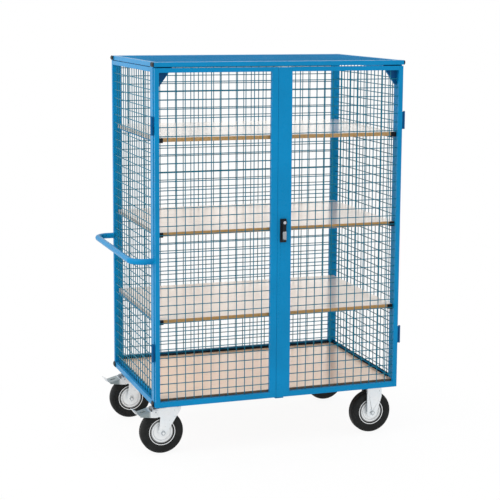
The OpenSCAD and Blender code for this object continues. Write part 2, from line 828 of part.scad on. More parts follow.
// Pedal: two cheeks on the pivot pin, a slotted tread with its toe bent up, and the shoe over the tyre
module brake_pedal() color(zinc) difference() {
  union() {
    for (y = [-cheek_out, cheek_in])
      translate([0, y + cheek_t / 2, 0]) pedal_piece(cheek_t, [
        [pivot_x + cheek_nose, pivot_z - cheek_drop], [pivot_x + cheek_nose, pivot_z + cheek_half],
        [pivot_x - cheek_lead, pivot_z + cheek_half], [shoe_x, tread_z], [bend_x, bend_z],
        [bend_x, bend_z - cheek_tip], [pivot_x - cheek_lead, pivot_z - cheek_drop]
      ]);
    pedal_piece(2 * cheek_out, [
      [shoe_x, tread_z], [bend_x, bend_z], [pedal_x, bend_z + toe_rise],
      [pedal_x, bend_z + toe_rise - tread_t], [bend_x, bend_z - tread_t], [shoe_x, tread_z - tread_t]
    ]);
    pedal_piece(2 * shoe_half, [
      [shoe_x, tread_z - tread_t / 2], [shoe_x - shoe_l, tread_z - tread_t / 2 - tread_slope * shoe_l],
      [shoe_x - shoe_l, shoe_z], [shoe_x, shoe_z]
    ]);
  }
  translate([pivot_x, -cheek_out - over, pivot_z]) rotate([-90, 0, 0])
    cylinder(r = pivot_r + running, h = 2 * cheek_out + 2 * over);
  translate([bend_x + tread_edge, 0, bend_z - tread_t - over])
    round_slot(tread_slot_l, tread_slot_w, tread_z - bend_z + tread_t + 2 * over);
}
module front_brake_pedal() at_swivel(0) brake_pedal();
module rear_brake_pedal() at_swivel(1) brake_pedal();

module on_fixed_axle() translate([-fixed_lead, 0, 0]) children();

module fixed_castor_brackets() color(zinc) {
  leg_back = -fixed_lead - bracket_boss_r;
  leg_front = -fixed_lead + bracket_boss_r;
  for (i = [0, 1])
    at_fixed(i) difference() {
      union() {
        castor_plate();
        fork_legs(-fixed_lead, bracket_boss_r, [
          [leg_back, axle_z], [leg_back, z_plate], [bracket_front, z_plate],
          [bracket_front, axle_z + bracket_flare], [leg_front, axle_z]
        ]);
      }
      on_fixed_axle() translate([0, -fork_out - over, axle_z]) rotate([-90, 0, 0])
        cylinder(r = axle_r + running, h = 2 * fork_out + 2 * over);
    }
}

module fixed_castor_axles() color(zinc) {
  for (i = [0, 1])
    at_fixed(i) on_fixed_axle() axle_bolt();
}

module about_axle() translate([0, 0, axle_z]) rotate([90, 0, 0]) rotate_extrude($fn = 96) children();

module ring_outline(side)
  translate([ring_in, side > 0 ? side_half - ring_sink : -side_half - ring_out])
    square([ring_w, ring_sink + ring_out]);

// Solid rubber tyre with round shoulders and a groove for the rim ring on each side
module tyre() color(black) about_axle() {
  half = tyre_w / 2;
  shoulder_r = wheel_r - tyre_shoulder;
  difference() {
    union() {
      polygon([
        [rim_r, -rim_half], [ring_in, -side_half], [ring_in + ring_w, -side_half], [shoulder_r, -half],
        [shoulder_r, half], [ring_in + ring_w, side_half], [ring_in, side_half], [rim_r, rim_half]
      ]);
      translate([shoulder_r - over, tyre_shoulder - half])
        square([tyre_shoulder + over, tyre_w - 2 * tyre_shoulder]);
      for (side = [-1, 1])
        translate([shoulder_r, side * (half - tyre_shoulder)]) circle(r = tyre_shoulder);
    }
    for (side = [-1, 1])
      ring_outline(side);
  }
}

// Pressed steel disc with its hub, and a ring in each side of the tyre
module rim() color(zinc) about_axle() {
  edge_r = rim_r - dish_edge;
  dish_r = edge_r - dish_step;
  bore_r = axle_r + running;
  polygon([
    [bore_r, -hub_half], [hub_r, -hub_half], [hub_r, -dish_half], [dish_r, -dish_half], [edge_r, -rim_half],
    [rim_r, -rim_half], [rim_r, rim_half], [edge_r, rim_half], [dish_r, dish_half], [hub_r, dish_half],
    [hub_r, hub_half], [bore_r, hub_half]
  ]);
  for (side = [-1, 1])
    ring_outline(side);
}

module on_swivel_axle() translate([-trail, 0, 0]) children();
module front_left_tyre() at_swivel(0) on_swivel_axle() tyre();
module rear_left_tyre() at_swivel(1) on_swivel_axle() tyre();
module front_right_tyre() at_fixed(0) on_fixed_axle() tyre();
module rear_right_tyre() at_fixed(1) on_fixed_axle() tyre();
module front_left_rim() at_swivel(0) on_swivel_axle() rim();
module rear_left_rim() at_swivel(1) on_swivel_axle() rim();
module front_right_rim() at_fixed(0) on_fixed_axle() rim();
module rear_right_rim() at_fixed(1) on_fixed_axle() rim();

base_rails();
base_cross_rails();
castor_mount_plates();
platform_board();
front_left_post();
front_right_post();
rear_left_post();
rear_right_post();
roof_front_rail();
roof_rails();
panel_rails();
roof_mesh();
rear_mesh();
left_mesh();
right_mesh();
gusset_plates();
tube_end_caps();
push_handle();
upper_shelf();
middle_shelf();
lower_shelf();
shelf_bearers();
shelf_stops();
hinge_post_leaves();
lock_keeper();
swivel_top_plates();
swivel_king_pins();
fixed_castor_brackets();
fixed_castor_axles();
castor_bolts();
left_door_stiles();
left_door_rails();
left_door_mesh();
left_door_knuckles();
right_door_hinge_stile();
right_door_lock_stile();
right_door_rails();
right_door_mesh();
right_door_knuckles();
lock_base_plate();
lock_rod_guides();
lock_lever();
lock_cylinder();
lock_cam();
upper_lock_rod();
lower_lock_rod();
front_swivel_fork();
rear_swivel_fork();
front_swivel_pins();
rear_swivel_pins();
front_brake_pedal();
rear_brake_pedal();
front_left_tyre();
rear_left_tyre();
front_right_tyre();
rear_right_tyre();
front_left_rim();
rear_left_rim();
front_right_rim();
rear_right_rim();
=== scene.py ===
import json
import math

import bmesh
import bpy
from mathutils import Matrix, Vector

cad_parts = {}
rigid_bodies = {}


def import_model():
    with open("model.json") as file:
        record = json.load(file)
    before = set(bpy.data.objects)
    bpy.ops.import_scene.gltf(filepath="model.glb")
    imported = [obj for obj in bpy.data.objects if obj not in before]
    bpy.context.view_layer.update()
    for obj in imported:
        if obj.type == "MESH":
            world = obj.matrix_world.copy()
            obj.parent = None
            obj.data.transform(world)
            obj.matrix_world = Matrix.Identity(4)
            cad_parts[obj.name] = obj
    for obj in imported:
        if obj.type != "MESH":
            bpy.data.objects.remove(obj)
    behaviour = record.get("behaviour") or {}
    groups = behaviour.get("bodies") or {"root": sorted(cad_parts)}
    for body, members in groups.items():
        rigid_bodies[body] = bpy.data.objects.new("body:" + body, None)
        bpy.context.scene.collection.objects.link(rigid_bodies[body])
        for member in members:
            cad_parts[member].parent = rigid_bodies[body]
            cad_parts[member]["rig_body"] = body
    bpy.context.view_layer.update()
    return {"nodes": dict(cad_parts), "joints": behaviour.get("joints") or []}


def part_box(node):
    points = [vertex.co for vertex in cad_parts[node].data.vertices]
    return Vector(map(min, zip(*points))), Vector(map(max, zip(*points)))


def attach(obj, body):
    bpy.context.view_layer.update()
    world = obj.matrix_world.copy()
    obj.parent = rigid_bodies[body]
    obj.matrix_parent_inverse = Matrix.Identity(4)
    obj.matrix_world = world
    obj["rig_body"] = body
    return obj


for leftover in list(bpy.data.objects):
    bpy.data.objects.remove(leftover)
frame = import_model()
nodes = frame["nodes"]

MM = 0.001

# CAD nodes that share a material
TUBES = ["base_rails", "base_cross_rails", "front_left_post", "front_right_post", "rear_left_post",
         "rear_right_post", "roof_front_rail", "roof_rails"]
DOOR_TUBES = ["left_door_stiles", "left_door_rails", "right_door_hinge_stile", "right_door_lock_stile",
              "right_door_rails"]
BLUE_PLATES = ["castor_mount_plates", "shelf_bearers", "lock_keeper"]
WIRE = ["rear_mesh", "left_mesh", "right_mesh", "left_door_mesh", "right_door_mesh"]
# Parts that take a darker copy of the blue coat, as painted shade
SHADED_BLUE_PARTS = ["gusset_plates", "hinge_post_leaves", "left_door_knuckles", "right_door_knuckles"]
SHELVES = ["upper_shelf", "middle_shelf", "lower_shelf"]
BLACK = ["tube_end_caps", "shelf_stops", "lock_base_plate", "lock_lever"]
TYRES = ["front_left_tyre", "rear_left_tyre", "front_right_tyre", "rear_right_tyre"]
RIMS = ["front_left_rim", "rear_left_rim", "front_right_rim", "rear_right_rim"]
SHEET_STEEL = ["swivel_top_plates", "fixed_castor_brackets", "front_swivel_fork", "rear_swivel_fork"]
PEDALS = ["front_brake_pedal", "rear_brake_pedal"]
ZINC_SMALL = ["swivel_king_pins", "fixed_castor_axles", "castor_bolts", "lock_rod_guides", "lock_cam",
              "upper_lock_rod", "lower_lock_rod", "front_swivel_pins", "rear_swivel_pins"]


# Node helpers

def add(tree, kind, sockets=None, **settings):
    """A new node with its settings; sockets maps input names or numbers to values or to outputs to link."""
    made = tree.nodes.new(kind)
    for key, value in settings.items():
        setattr(made, key, value)
    for key, value in (sockets or {}).items():
        if isinstance(value, bpy.types.NodeSocket):
            tree.links.new(value, made.inputs[key])
        else:
            made.inputs[key].default_value = value
    return made


def new_material(name, **constants):
    """Material with its shader; constants set the shader's own sockets, with _ for a space."""
    mat = bpy.data.materials.new(name)
    mat.use_nodes = True
    shader = mat.node_tree.nodes["Principled BSDF"]
    for key, value in constants.items():
        shader.inputs[key.replace("_", " ")].default_value = value
    return mat, mat.node_tree, shader


def here(tree, scale=(1, 1, 1)):
    """Object coordinates, in metres, stretched by scale."""
    place = add(tree, "ShaderNodeTexCoord").outputs["Object"]
    return add(tree, "ShaderNodeMapping", {"Vector": place, "Scale": scale}).outputs["Vector"]


def noise(tree, vector, scale, detail=3.0, rough=0.55):
    """Noise with scale features per metre, about 0.5 on average."""
    return add(tree, "ShaderNodeTexNoise",
               {"Vector": vector, "Scale": scale, "Detail": detail, "Roughness": rough}).outputs["Fac"]


def calc(tree, operation, first, second=0.0):
    """Math node of one or two values."""
    return add(tree, "ShaderNodeMath", {0: first, 1: second}, operation=operation).outputs["Value"]


def ramp(tree, value, *stops):
    """Colour ramp through stops of (value, colour)."""
    made = add(tree, "ShaderNodeValToRGB", {"Fac": value})
    points = made.color_ramp.elements
    while len(points) < len(stops):
        points.new(0.5)
    for point, (place, colour) in zip(points, stops):
        point.position = place
        point.color = (*colour, 1)
    return made.outputs["Color"]


def between(tree, value, from_low, from_high, low, high):
    """Value mapped from one span to another, and held within it."""
    return add(tree, "ShaderNodeMapRange", {"Value": value, "From Min": from_low, "From Max": from_high,
                                            "To Min": low, "To Max": high}).outputs["Result"]


def spread(tree, value, low, high):
    """Noise over its usual span, mapped to low and high."""
    return between(tree, value, 0.3, 0.7, low, high)


def blend_colour(tree, share, first, second):
    """Mix of two colours or colour outputs; share 0 gives the first and 1 the second."""
    first, second = (colour if isinstance(colour, bpy.types.NodeSocket) else (*colour, 1)
                     for colour in (first, second))
    return add(tree, "ShaderNodeMix", {0: share, 6: first, 7: second}, data_type="RGBA").outputs[2]


def bump(tree, shader, relief, strength, distance):
    """Fine relief on the shader's normal; distance is in metres."""
    made = add(tree, "ShaderNodeBump", {"Height": relief, "Strength": strength, "Distance": distance})
    tree.links.new(made.outputs["Normal"], shader.inputs["Normal"])


def facing(tree, axis):
    """Part of the surface's normal along an axis."""
    normal = add(tree, "ShaderNodeNewGeometry").outputs["Normal"]
    return add(tree, "ShaderNodeSeparateXYZ", {"Vector": normal}).outputs[axis]


def wheel_radius(tree):
    """Distance from the axle, as a share of the wheel part's own width; the axle runs along Y."""
    place = add(tree, "ShaderNodeTexCoord").outputs["Generated"]
    axis = add(tree, "ShaderNodeSeparateXYZ", {"Vector": place}).outputs
    from_x = calc(tree, "SUBTRACT", axis["X"], 0.5)
    from_z = calc(tree, "SUBTRACT", axis["Z"], 0.5)
    square = calc(tree, "ADD", calc(tree, "MULTIPLY", from_x, from_x), calc(tree, "MULTIPLY", from_z, from_z))
    return calc(tree, "SQRT", square)


def height(tree):
    """Height above the floor, for what stands still on the cage."""
    return add(tree, "ShaderNodeSeparateXYZ", {"Vector": here(tree)}).outputs["Z"]


def scaled(colour, share):
    """Colour made darker or lighter."""
    return tuple(channel * share for channel in colour)


# Materials

def powder_coat(name, colour, rough, shine, foot=None):
    """Powder coat: slow tone drift, orange peel, uneven gloss and a little dust on what faces up.

    foot is a height in metres and the tone of painted shade for what lies below it, as on the rail behind the
    platform, which stands in shadow.
    """
    mat, tree, shader = new_material(name, Specular_IOR_Level=shine)
    drift = noise(tree, here(tree), 5.0)
    tone = ramp(tree, drift, (0.3, scaled(colour, 0.92)), (0.7, scaled(colour, 1.07)))
    if foot:
        foot_top, foot_shade_tone = foot
        tone = blend_colour(tree, calc(tree, "LESS_THAN", height(tree), foot_top), tone, foot_shade_tone)
    patches = noise(tree, here(tree), 18.0, detail=5.0)
    dusty = calc(tree, "MULTIPLY", between(tree, facing(tree, "Z"), 0.5, 1.0, 0.0, 0.10), patches)
    tree.links.new(blend_colour(tree, dusty, tone, (0.45, 0.50, 0.55)), shader.inputs["Base Color"])
    gloss = spread(tree, noise(tree, here(tree), 60.0), rough - 0.05, rough + 0.05)
    tree.links.new(gloss, shader.inputs["Roughness"])
    bump(tree, shader, noise(tree, here(tree), 650.0, detail=2.0), strength=0.12, distance=0.0004)
    return mat


def laminate(name, face, dark, edge, rough, coat):
    """Board: laminate faces with a long fine grain, ends in a darker tone of painted shade, and plywood long
    edges with thin plies.
    """
    mat, tree, shader = new_material(name, Specular_IOR_Level=0.5, Coat_Weight=coat, Coat_Roughness=0.18)
    grain = noise(tree, here(tree, (2, 45, 45)), 4.0, detail=6.0, rough=0.65)
    cloud = noise(tree, here(tree), 3.0)
    face_tone = blend_colour(tree, cloud, ramp(tree, grain, (0.35, dark), (0.65, face)), face)
    plies = add(tree, "ShaderNodeTexWave",
                {"Vector": here(tree), "Scale": 95.0, "Distortion": 0.8, "Detail": 2.0},
                bands_direction="Z").outputs["Fac"]
    edge_tone = ramp(tree, plies, (0.2, scaled(edge, 0.6)), (0.8, edge))
    on_end = calc(tree, "GREATER_THAN", calc(tree, "ABSOLUTE", facing(tree, "X")), 0.6)
    on_edge = calc(tree, "GREATER_THAN", calc(tree, "ABSOLUTE", facing(tree, "Y")), 0.6)
    # Painted shade: the ends that face along X take a darker laminate tone.
    ends_shaded = blend_colour(tree, on_end, face_tone, scaled(dark, 0.55))
    tree.links.new(blend_colour(tree, on_edge, ends_shaded, edge_tone), shader.inputs["Base Color"])
    tree.links.new(spread(tree, grain, rough - 0.05, rough + 0.07), shader.inputs["Roughness"])
    bump(tree, shader, grain, strength=0.06, distance=0.0003)
    return mat


def zinc_plate(name, colour, rough, metal):
    """Zinc plate: cloudy spangle with a faint blue tint."""
    mat, tree, shader = new_material(name, Metallic=metal)
    spangle = noise(tree, here(tree), 90.0, detail=4.0)
    tint = noise(tree, here(tree), 14.0)
    tone = ramp(tree, tint, (0.35, (colour[0] * 0.95, colour[1] * 0.98, colour[2])), (0.65, colour))
    speckle = ramp(tree, spangle, (0.3, scaled(colour, 0.78)), (0.7, colour))
    tree.links.new(blend_colour(tree, 0.25, tone, speckle), shader.inputs["Base Color"])
    tree.links.new(spread(tree, spangle, rough - 0.08, rough + 0.08), shader.inputs["Roughness"])
    bump(tree, shader, spangle, strength=0.05, distance=0.0004)
    return mat


def pressed_disc(name, colour, shade):
    """Wheel disc: zinc with fine turned rings, darker at the hub, with painted shade in the dish's fold and a
    near-black painted shadow in the groove.
    """
    mat, tree, shader = new_material(name, Metallic=0.5)
    reach = wheel_radius(tree)
    rings = noise(tree, add(tree, "ShaderNodeCombineXYZ", {"X": reach}).outputs["Vector"], 90.0, detail=2.0)
    # Painted shade in the fold near 0.32 of the width, and painted shadow from 0.398 to 0.46 where the groove
    # meets the tyre.
    shaded_folds = ramp(tree, reach, (0.0, scaled(colour, 0.75)), (0.13, colour), (0.30, colour),
                 (0.318, scaled(colour, 0.55)), (0.336, colour), (0.388, colour), (0.398, shade),
                 (0.460, shade), (0.468, colour))
    grey = ramp(tree, rings, (0.3, scaled(colour, 0.86)), (0.7, colour))
    tree.links.new(blend_colour(tree, 0.35, shaded_folds, grey), shader.inputs["Base Color"])
    tree.links.new(spread(tree, rings, 0.28, 0.42), shader.inputs["Roughness"])
    bump(tree, shader, rings, strength=0.08, distance=0.0004)
    return mat


def pedal_with_painted_reflection(name, bright, reflected_dark):
    """Brake pedal: bright zinc at its two ends, and along the tread between them a painted reflection of the
    dark cage underside, with fine scratches in the same dark tone.
    """
    mat, tree, shader = new_material(name, Metallic=0.6)
    place = add(tree, "ShaderNodeTexCoord").outputs["Generated"]
    along = add(tree, "ShaderNodeSeparateXYZ", {"Vector": place}).outputs["X"]
    tone = ramp(tree, along, (0.0, bright), (0.14, bright), (0.22, reflected_dark), (0.62, reflected_dark), (0.72, bright))
    scratches = noise(tree, here(tree, (1, 14, 1)), 120.0, detail=5.0)
    scratched_reflection = blend_colour(tree, spread(tree, scratches, 0.0, 0.3), tone, reflected_dark)
    tree.links.new(scratched_reflection, shader.inputs["Base Color"])
    tree.links.new(spread(tree, scratches, 0.26, 0.42), shader.inputs["Roughness"])
    bump(tree, shader, scratches, strength=0.06, distance=0.0004)
    return mat


def moulded_plastic(name, colour, rough):
    """Matt plastic with a fine moulded grain, also used for the dark strips that stand for shade lines."""
    mat, tree, shader = new_material(name, Specular_IOR_Level=0.2)
    drift = noise(tree, here(tree), 30.0)
    tone = ramp(tree, drift, (0.3, scaled(colour, 0.8)), (0.7, scaled(colour, 1.2)))
    tree.links.new(tone, shader.inputs["Base Color"])
    tree.links.new(spread(tree, drift, rough - 0.05, rough + 0.07), shader.inputs["Roughness"])
    bump(tree, shader, noise(tree, here(tree), 1400.0, detail=2.0), strength=0.15, distance=0.0003)
    return mat


def rubber(name, colour, dust):
    """Tyre rubber: matt, a little dusty, with moulded rings round the axle and a fine grain."""
    mat, tree, shader = new_material(name, Specular_IOR_Level=0.2)
    patches = noise(tree, here(tree), 22.0, detail=5.0)
    tree.links.new(ramp(tree, patches, (0.4, colour), (0.72, dust)), shader.inputs["Base Color"])
    tree.links.new(spread(tree, patches, 0.55, 0.75), shader.inputs["Roughness"])
    rings = calc(tree, "SINE", calc(tree, "MULTIPLY", wheel_radius(tree), 420.0))
    grain = noise(tree, here(tree), 420.0, detail=4.0)
    relief = calc(tree, "ADD", calc(tree, "MULTIPLY", rings, 0.35), grain)
    bump(tree, shader, relief, strength=0.25, distance=0.0006)
    return mat


def bright_metal(name, colour):
    """Polished metal with faint wipe marks."""
    mat, tree, shader = new_material(name, Metallic=1.0)
    wipe = noise(tree, here(tree, (1, 1, 30)), 60.0, detail=4.0)
    tree.links.new(ramp(tree, wipe, (0.3, scaled(colour, 0.88)), (0.7, colour)), shader.inputs["Base Color"])
    tree.links.new(spread(tree, wipe, 0.08, 0.18), shader.inputs["Roughness"])
    return mat


# The second blue is painted shade: it darkens the panel rails below FOOT_TOP and stands for the shadow on the
# rail behind the platform.
BLUE, FOOT_SHADE_BLUE = (0.002, 0.222, 0.48), (0.002, 0.11, 0.23)
FOOT_TOP = 0.3
BRIGHT_ZINC = (0.88, 0.90, 0.91)

PAINT = powder_coat("blue_powder_coat", BLUE, rough=0.30, shine=0.09)
# Rail coat: the blue coat, with painted shade below FOOT_TOP.
RAIL_PAINT_FOOT_SHADED = powder_coat("blue_rail_coat_foot_shade", BLUE, rough=0.30, shine=0.09, foot=(FOOT_TOP, FOOT_SHADE_BLUE))
# The wire coat is the frame's blue coat made darker and greyer: painted shade on the thin wires and their
# spot welds.
WIRE_SHADED_PAINT = powder_coat("blue_wire_coat_painted_shade", (0.004, 0.145, 0.225), rough=0.40, shine=0.15)
# The roof coat is the same blue coat made darker: painted shade on the roof mesh and its spot welds.
ROOF_SHADED_PAINT = powder_coat("blue_roof_coat_painted_shade", (0.002, 0.172, 0.38), rough=0.40, shine=0.12)
# A darker copy of the blue coat: painted shade on the gusset plates, the hinges and their pin heads.
SHADED_PAINT = powder_coat("blue_coat_painted_shade", (0.002, 0.09, 0.25), rough=0.40, shine=0.12)
SHELF_WOOD = laminate("shelf_laminate", face=(0.98, 0.82, 0.68), dark=(0.95, 0.76, 0.61),
                      edge=(0.60, 0.32, 0.08), rough=0.30, coat=1.0)
# The deck's long edges are near-black brown over the plies: painted shade for the dark gap along the
# platform's front and back edges.
DECK_WOOD = laminate("deck_laminate", face=(0.98, 0.71, 0.49), dark=(0.93, 0.63, 0.41),
                     edge=(0.13, 0.075, 0.03), rough=0.30, coat=0.8)
ZINC_STEEL = zinc_plate("bright_zinc", BRIGHT_ZINC, rough=0.34, metal=0.55)
# The pedals' dark tread is a painted reflection of the cage's underside.
PEDAL_ZINC = pedal_with_painted_reflection("pedal_zinc", BRIGHT_ZINC, reflected_dark=(0.26, 0.31, 0.32))
# Darker zinc of the small steel parts; on the bracket flanges it is painted shade.
DULL_ZINC_AND_FLANGE_SHADE = zinc_plate("dull_zinc_and_flange_shade", (0.50, 0.53, 0.55), rough=0.38, metal=0.75)
DISC_STEEL = pressed_disc("pressed_disc", (0.90, 0.92, 0.93), shade=(0.012, 0.014, 0.015))
PLASTIC = moulded_plastic("black_moulding", (0.008, 0.009, 0.012), rough=0.5)
RUBBER = rubber("tyre_rubber", (0.007, 0.008, 0.008), dust=(0.020, 0.021, 0.021))
# Near-black strips that stand for shade: along the platform's edges and on top of the side foot bars.
SHADOW_STRIP_BLACK = moulded_plastic("black_shadow_strip", (0.006, 0.012, 0.022), rough=0.6)
GRIP_METAL = bright_metal("satin_grip", (0.36, 0.38, 0.40))
CHROME = bright_metal("chrome", (0.60, 0.61, 0.66))


def clothe(names, mat):
    """Gives CAD nodes one material."""
    for name in names:
        slots = nodes[name].data.materials
        slots.clear()
        slots.append(mat)


for names, mat in ((TUBES + DOOR_TUBES + BLUE_PLATES + ["push_handle"], PAINT), (["panel_rails"], RAIL_PAINT_FOOT_SHADED),
                   (WIRE, WIRE_SHADED_PAINT), (["roof_mesh"], ROOF_SHADED_PAINT), (SHADED_BLUE_PARTS, SHADED_PAINT),
                   (SHELVES, SHELF_WOOD), (["platform_board"], DECK_WOOD), (BLACK, PLASTIC), (TYRES, RUBBER),
                   (RIMS, DISC_STEEL), (SHEET_STEEL, ZINC_STEEL), (PEDALS, PEDAL_ZINC),
                   (ZINC_SMALL, DULL_ZINC_AND_FLANGE_SHADE), (["lock_cylinder"], CHROME)):
    clothe(names, mat)


# Rounded edges of the CAD solids

TUBE_ROUND, DOOR_ROUND, BOARD_ROUND, PLATE_ROUND = 0.9 * MM, 0.7 * MM, 1.2 * MM, 0.6 * MM
MERGE_REACH = 0.01 * MM
SHARP_ANGLE = math.radians(40)


def round_edges(names, width):
    """Small round on the sharp edges, shaded so that the flat faces stay flat."""
    for name in names:
        weld = nodes[name].modifiers.new("weld", "WELD")
        weld.merge_threshold = MERGE_REACH
        edge = nodes[name].modifiers.new("edge", "BEVEL")
        edge.width = width
        edge.segments = 2
        edge.limit_method = "ANGLE"
        edge.angle_limit = SHARP_ANGLE
        nodes[name].modifiers.new("shade", "WEIGHTED_NORMAL")


round_edges(TUBES + ["panel_rails"], TUBE_ROUND)
round_edges(DOOR_TUBES, DOOR_ROUND)
round_edges(SHELVES + ["platform_board", "shelf_stops", "lock_base_plate", "lock_lever"], BOARD_ROUND)
round_edges(BLUE_PLATES + ["gusset_plates", "fixed_castor_brackets", "front_swivel_fork", "rear_swivel_fork",
                           *PEDALS], PLATE_ROUND)


# New pieces

def piece(name, bm, mat, body):
    """Turns the built mesh into a piece that rides on a body."""
    bmesh.ops.recalc_face_normals(bm, faces=bm.faces)
    mesh = bpy.data.meshes.new(name)
    bm.to_mesh(mesh)
    bm.free()
    for face in mesh.polygons:
        face.use_smooth = True
    mesh.materials.append(mat)
    made = bpy.data.objects.new(name, mesh)
    bpy.context.scene.collection.objects.link(made)
    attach(made, body)


def box_of(name):
    """Low and high corner of a CAD node's box."""
    low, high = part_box(name)
    return Vector(low), Vector(high)


def middle(name):
    """Centre of a CAD node's box."""
    low, high = box_of(name)
    return (low + high) / 2


def skin(bm, rings, closed):
    """Faces between rings of vertices; an open row gets its two ends capped."""
    count = len(rings[0])
    pairs = list(zip(rings, rings[1:])) + ([(rings[-1], rings[0])] if closed else [])
    for first, second in pairs:
        for i in range(count):
            bm.faces.new((first[i], first[(i + 1) % count], second[(i + 1) % count], second[i]))
    if not closed:
        bm.faces.new(rings[0])
        bm.faces.new(rings[-1])


def lathe(bm, centre, axis, profile, steps=40):
    """Closed profile of (radius, height), in millimetres, turned about an axis through centre."""
    axis = Vector(axis)
    side = axis.orthogonal().normalized()
    over = axis.cross(side)
    rings = []
    for k in range(steps):
        t = 2 * math.pi * k / steps
        out = side * math.cos(t) + over * math.sin(t)
        rings.append([bm.verts.new(Vector(centre) + out * r * MM + axis * h * MM) for r, h in profile])
    skin(bm, rings, True)


def sweep_strip(bm, corners, reach):
    """Prism of a closed outline, pushed along reach."""
    ends = (Vector(), Vector(reach))
    rings = [[bm.verts.new(Vector(corner) + shift) for corner in corners] for shift in ends]
    skin(bm, rings, False)


# Weld beads

BEAD, SMALL_BEAD = 2.4 * MM, 1.8 * MM
BEAD_SIDES = 6
RIPPLE = 3.2 * MM
RIPPLE_SHARE = 0.14
BEAD_STEP = RIPPLE / 4
END_SHARE, END_GROWTH = 0.45, 0.25


def lay_bead(bm, points, radius):
    """Rippled weld bead along an open row of points, thinner at its ends."""
    path = [Vector(points[0])]
    for start, end in zip(points, points[1:]):
        start, end = Vector(start), Vector(end)
        steps = max(1, round((end - start).length / BEAD_STEP))
        path += [start.lerp(end, (i + 1) / steps) for i in range(steps)]
    turns = [2 * math.pi * k / BEAD_SIDES for k in range(BEAD_SIDES)]
    rings = []
    for i, spot in enumerate(path):
        along = (path[min(i + 1, len(path) - 1)] - path[max(i - 1, 0)]).normalized()
        side = along.orthogonal().normalized()
        over = along.cross(side)
        taper = min(1.0, END_SHARE + END_GROWTH * min(i, len(path) - 1 - i))
        wave = math.cos(2 * math.pi * i * BEAD_STEP / RIPPLE)
        thick = radius * taper * (1 - RIPPLE_SHARE + RIPPLE_SHARE * wave)
        rings.append([bm.verts.new(spot + (side * math.cos(t) + over * math.sin(t)) * thick) for t in turns])
    skin(bm, rings, False)


def cage_welds():
    """Beads in the corners where the frame's tubes and gusset plates meet."""
    bm = bmesh.new()
    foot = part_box("front_left_post")[0][2]
    rail_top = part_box("rear_mesh")[0][2]
    rail_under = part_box("left_mesh")[1][2]
    (_, _, roof), (_, front_rail_back, roof_top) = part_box("roof_front_rail")
    rear_rail_front = 2 * middle("roof_mesh").y - front_rail_back
    gusset_low, gusset_high = box_of("gusset_plates")
    near, far, head_gap = 12 * MM, 60 * MM, 14 * MM
    gusset_foot, gusset_head = gusset_low.z + near, gusset_high.z - head_gap
    for side, front, rear in ((1, "front_left_post", "rear_left_post"),
                              (-1, "front_right_post", "rear_right_post")):
        low, high = box_of(front)
        back_low, back_high = box_of(rear)
        inner = high.x if side > 0 else low.x
        rear_inner = back_high.x if side > 0 else back_low.x
        for z in (foot, rail_under):
            lay_bead(bm, [(low.x, high.y, z), (high.x, high.y, z)], BEAD)
        lay_bead(bm, [(low.x, back_low.y, rail_under), (high.x, back_low.y, rail_under)], BEAD)
        lay_bead(bm, [(rear_inner, back_low.y, rail_top), (rear_inner, back_high.y, rail_top)], BEAD)
        lay_bead(bm, [(back_low.x, back_low.y, roof), (back_high.x, back_low.y, roof)], BEAD)
        lay_bead(bm, [(rear_inner, back_low.y, roof), (rear_inner, back_high.y, roof)], BEAD)
        lay_bead(bm, [(inner, low.y, roof), (inner, front_rail_back, roof)], BEAD)
        for y in (front_rail_back, rear_rail_front):
            lay_bead(bm, [(inner, y, roof), (inner, y, roof_top)], BEAD)
        for y in (gusset_low.y, gusset_high.y):
            lay_bead(bm, [(inner, y, gusset_foot), (inner, y, gusset_head)], SMALL_BEAD)
            lay_bead(bm, [(inner + side * near, y, roof), (inner + side * far, y, roof)], SMALL_BEAD)
    return bm


def bearer_welds():
    """Beads that hold the shelf bearers to the posts."""
    bm = bmesh.new()
    low, high = box_of("shelf_bearers")
    bearer_t, front_gap, back_gap = 4 * MM, 3 * MM, 2 * MM
    front, post_back = low.y + front_gap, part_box("front_left_post")[1][1] - back_gap
    rear_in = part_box("rear_left_post")[1][0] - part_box("rear_left_post")[0][0]
    for shelf in SHELVES:
        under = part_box(shelf)[0][2] - bearer_t
        for inner, into in ((low.x, 1), (high.x, -1)):
            lay_bead(bm, [(inner, front, under), (inner, post_back, under)], SMALL_BEAD)
            lay_bead(bm, [(inner, high.y, under), (inner + into * rear_in / 2, high.y, under)], SMALL_BEAD)
    return bm


def base_welds():
    """Upright beads in the corners of the base and at the ends of its cross rails."""
    bm = bmesh.new()
    low, high = box_of("base_rails")
    cross_low, cross_high = box_of("base_cross_rails")
    foot_gap, head_gap = 1 * MM, 3 * MM
    rail = cross_low.y - low.y
    spots = [low.x + rail, high.x - rail]
    spots += [cross_low.x, cross_low.x + rail, cross_high.x - rail, cross_high.x]
    for x in spots:
        for y in (cross_low.y, cross_high.y):
            lay_bead(bm, [(x, y, low.z + foot_gap), (x, y, high.z - head_gap)], BEAD)
    return bm


def handle_welds():
    """Beads round the ends of the push handle, where they lie on the posts."""
    bm = bmesh.new()
    bar = middle("push_handle")
    low, high = box_of("push_handle")
    tube = (high.z - low.z) / 2
    steps, slack = 72, 0.1 * MM
    for y, post in ((low.y + tube, "front_left_post"), (high.y - tube, "rear_left_post")):
        post_low, post_high = box_of(post)
        arc = []
        for k in range(steps + 1):
            t = 2 * math.pi * k / steps
            spot = Vector((post_low.x, y + tube * math.cos(t), bar.z + tube * math.sin(t)))
            if post_low.y - slack <= spot.y <= post_high.y + slack:
                arc.append(spot)
                continue
            if len(arc) > 1:
                lay_bead(bm, arc, BEAD)
            arc = []
        if len(arc) > 1:
            lay_bead(bm, arc, BEAD)
    return bm


